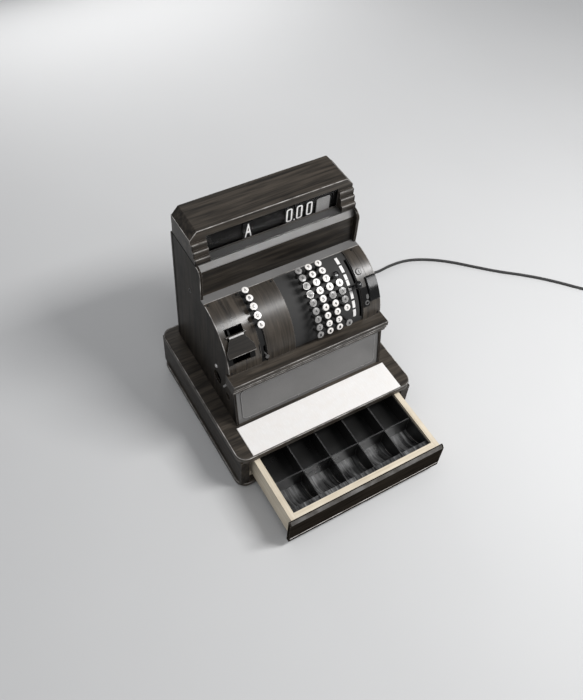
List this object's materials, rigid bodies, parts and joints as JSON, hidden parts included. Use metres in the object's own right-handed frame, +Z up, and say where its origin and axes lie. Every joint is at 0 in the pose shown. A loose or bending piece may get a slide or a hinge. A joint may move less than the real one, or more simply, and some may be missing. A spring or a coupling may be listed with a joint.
{
  "type": "mechanical cash register",
  "caption": "Mechanical cash register with a rounded bank of press keys, control lever, window indicators, motor drive and a sliding till drawer, shown part open, with mains cord",
  "frame": {"origin": "centre of the footprint of case and open drawer, on the floor the feet stand on, cord left out", "axes": "+X to the operator's right, +Y from the drawer towards the back, +Z up"},
  "size_m": [1.2137, 0.6573, 0.5055],
  "materials": {
    "case_wood": "satin varnish, dark grain",
    "case_trim": "satin varnish, worn edge",
    "foot_rubber": "matte",
    "pale_wood": "bare, lightly varnished",
    "white_plate": "smooth, slightly glossy",
    "till_metal": "satin black",
    "grained_metal": "satin, wood-grained",
    "clear_glass": "clear, polished",
    "grey_metal": "satin enamel",
    "bright_metal": "polished nickel",
    "black_plastic": "glossy moulded",
    "mechanism_steel": "oiled steel",
    "tablet_black": "matte with white numerals",
    "motor_paint": "crinkle enamel",
    "cord_rubber": "matte",
    "key_white": "glossy moulded"
  },
  "bodies": {
    "cabinet": {"case_top": "case_wood", "case_sides": "case_wood", "case_back": "case_wood", "case_bottom": "case_trim", "rubber_feet": "foot_rubber", "drawer_runners": "pale_wood", "change_plate": "white_plate", "left_side_panel": "grained_metal", "right_side_panel": "grained_metal", "back_panel": "grained_metal", "hood_cover": "grained_metal", "window_glasses": "clear_glass", "window_sill": "grey_metal", "shelf_bar": "bright_metal", "upper_panel": "grained_metal", "keyboard_strip": "bright_metal", "left_key_cover": "grained_metal", "centre_key_cover": "grained_metal", "right_key_cover": "grained_metal", "key_plate": "grey_metal", "front_ledge": "grained_metal", "front_panel": "grey_metal", "machine_frames": "mechanism_steel", "lever_shaft": "mechanism_steel", "motor": "motor_paint", "strain_relief": "cord_rubber", "cord_free": "cord_rubber", "cord_coil": "cord_rubber", "plug": "black_plastic"},
    "drawer": {"drawer_front": "case_wood", "drawer_box": "pale_wood", "drawer_bottom": "till_metal", "till_walls": "till_metal", "coin_scoops": "till_metal"},
    "control_lever_body": {"control_lever": "black_plastic"},
    "receipt_lever_body": {"receipt_lever": "bright_metal"},
    "motor_bar_body": {"motor_bar": "black_plastic"},
    "lock_plug_body": {"lock_plug": "bright_metal"},
    "receipt_lid_body": {"receipt_lid": "grey_metal"},
    "clerk_tablet_body": {"clerk_tablet": "tablet_black"},
    "flag_tablet_body": {"flag_tablet": "white_plate"},
    "main_drive_body": {"main_drive": "mechanism_steel"},
    "motor_pinion_body": {"motor_pinion": "mechanism_steel"},
    "key_row_1_body": {"key_row_1": "key_white"},
    "key_row_2_body": {"key_row_2": "key_white"},
    "key_row_3_body": {"key_row_3": "key_white"},
    "key_row_4_body": {"key_row_4": "key_white"},
    "key_row_5_body": {"key_row_5": "key_white"},
    "key_row_6_body": {"key_row_6": "key_white"},
    "key_row_7_body": {"key_row_7": "key_white"},
    "key_row_8_body": {"key_row_8": "key_white"},
    "key_row_9_body": {"key_row_9": "key_white"},
    "clerk_key_1_body": {"clerk_key_1": "key_white"},
    "clerk_key_2_body": {"clerk_key_2": "key_white"},
    "clerk_key_3_body": {"clerk_key_3": "key_white"},
    "clerk_key_4_body": {"clerk_key_4": "key_white"},
    "clerk_key_5_body": {"clerk_key_5": "key_white"},
    "amount_tablet_1_body": {"amount_tablet_1": "tablet_black"},
    "amount_tablet_2_body": {"amount_tablet_2": "tablet_black"},
    "amount_tablet_3_body": {"amount_tablet_3": "tablet_black"}
  },
  "joints": [
    {"name": "drawer_slide", "type": "slide", "parent": "cabinet", "child": "drawer", "axis": [0, -1, 0], "range_m": [-0.161, 0.06]},
    {"name": "key_row_1_press", "type": "slide", "parent": "cabinet", "child": "key_row_1_body", "axis": [0, 0.2062, -0.9785], "range_m": [0, 0.006], "stiffness_N_per_m": 320, "springref_m": -0.004},
    {"name": "key_row_2_press", "type": "slide", "parent": "cabinet", "child": "key_row_2_body", "axis": [0, 0.3333, -0.9428], "range_m": [0, 0.006], "stiffness_N_per_m": 320, "springref_m": -0.004},
    {"name": "key_row_3_press", "type": "slide", "parent": "cabinet", "child": "key_row_3_body", "axis": [0, 0.4546, -0.8907], "range_m": [0, 0.006], "stiffness_N_per_m": 320, "springref_m": -0.004},
    {"name": "key_row_4_press", "type": "slide", "parent": "cabinet", "child": "key_row_4_body", "axis": [0, 0.568, -0.823], "range_m": [0, 0.006], "stiffness_N_per_m": 320, "springref_m": -0.004},
    {"name": "key_row_5_press", "type": "slide", "parent": "cabinet", "child": "key_row_5_body", "axis": [0, 0.6715, -0.741], "range_m": [0, 0.006], "stiffness_N_per_m": 320, "springref_m": -0.004},
    {"name": "key_row_6_press", "type": "slide", "parent": "cabinet", "child": "key_row_6_body", "axis": [0, 0.7632, -0.6461], "range_m": [0, 0.006], "stiffness_N_per_m": 320, "springref_m": -0.004},
    {"name": "key_row_7_press", "type": "slide", "parent": "cabinet", "child": "key_row_7_body", "axis": [0, 0.8417, -0.5399], "range_m": [0, 0.006], "stiffness_N_per_m": 320, "springref_m": -0.004},
    {"name": "key_row_8_press", "type": "slide", "parent": "cabinet", "child": "key_row_8_body", "axis": [0, 0.9055, -0.4244], "range_m": [0, 0.006], "stiffness_N_per_m": 320, "springref_m": -0.004},
    {"name": "key_row_9_press", "type": "slide", "parent": "cabinet", "child": "key_row_9_body", "axis": [0, 0.9535, -0.3014], "range_m": [0, 0.006], "stiffness_N_per_m": 320, "springref_m": -0.004},
    {"name": "clerk_key_1_press", "type": "slide", "parent": "cabinet", "child": "clerk_key_1_body", "axis": [0, 0.1805, -0.9836], "range_m": [0, 0.006], "stiffness_N_per_m": 160, "springref_m": -0.004},
    {"name": "clerk_key_2_press", "type": "slide", "parent": "cabinet", "child": "clerk_key_2_body", "axis": [0, 0.3156, -0.9489], "range_m": [0, 0.006], "stiffness_N_per_m": 160, "springref_m": -0.004},
    {"name": "clerk_key_3_press", "type": "slide", "parent": "cabinet", "child": "clerk_key_3_body", "axis": [0, 0.4446, -0.8957], "range_m": [0, 0.006], "stiffness_N_per_m": 160, "springref_m": -0.004},
    {"name": "clerk_key_4_press", "type": "slide", "parent": "cabinet", "child": "clerk_key_4_body", "axis": [0, 0.565, -0.8251], "range_m": [0, 0.006], "stiffness_N_per_m": 160, "springref_m": -0.004},
    {"name": "clerk_key_5_press", "type": "slide", "parent": "cabinet", "child": "clerk_key_5_body", "axis": [0, 0.6743, -0.7385], "range_m": [0, 0.006], "stiffness_N_per_m": 160, "springref_m": -0.004},
    {"name": "motor_bar_press", "type": "slide", "parent": "cabinet", "child": "motor_bar_body", "axis": [0, 0.7934, -0.6088], "range_m": [0, 0.005], "stiffness_N_per_m": 400, "springref_m": -0.004},
    {"name": "control_lever_turn", "type": "hinge", "parent": "cabinet", "child": "control_lever_body", "pos_m": [0.133, 0.115, 0.248], "axis": [1, 0, 0], "range_deg": [-27, 35]},
    {"name": "receipt_lever_turn", "type": "hinge", "parent": "cabinet", "child": "receipt_lever_body", "pos_m": [-0.0965, 0.115, 0.248], "axis": [1, 0, 0], "range_deg": [-8, 6]},
    {"name": "receipt_lid_turn", "type": "hinge", "parent": "cabinet", "child": "receipt_lid_body", "pos_m": [-0.14875, 0.03543, 0.33185], "axis": [-1, 0, 0], "range_deg": [0, 80]},
    {"name": "lock_plug_turn", "type": "hinge", "parent": "cabinet", "child": "lock_plug_body", "pos_m": [0.1475, 0.05802, 0.34209], "axis": [0, -0.518, 0.8554], "range_deg": [0, 90]},
    {"name": "clerk_tablet_drop", "type": "slide", "parent": "cabinet", "child": "clerk_tablet_body", "axis": [0, 0, -1], "range_m": [0, 0.045]},
    {"name": "amount_tablet_1_drop", "type": "slide", "parent": "cabinet", "child": "amount_tablet_1_body", "axis": [0, 0, -1], "range_m": [0, 0.045]},
    {"name": "amount_tablet_2_drop", "type": "slide", "parent": "cabinet", "child": "amount_tablet_2_body", "axis": [0, 0, -1], "range_m": [0, 0.045]},
    {"name": "amount_tablet_3_drop", "type": "slide", "parent": "cabinet", "child": "amount_tablet_3_body", "axis": [0, 0, -1], "range_m": [0, 0.045]},
    {"name": "flag_tablet_drop", "type": "slide", "parent": "cabinet", "child": "flag_tablet_body", "axis": [0, 0, -1], "range_m": [0, 0.045]},
    {"name": "main_drive_turn", "type": "hinge", "parent": "cabinet", "child": "main_drive_body", "pos_m": [0.105, 0.055, 0.188], "axis": [1, 0, 0], "continuous": true},
    {"name": "motor_pinion_turn", "type": "hinge", "parent": "cabinet", "child": "motor_pinion_body", "pos_m": [0.105, 0.111, 0.188], "axis": [1, 0, 0], "continuous": true}
  ],
  "couplings": [
    {"joint": "motor_pinion_turn", "follows": "main_drive_turn", "ratio": -2.5}
  ]
}
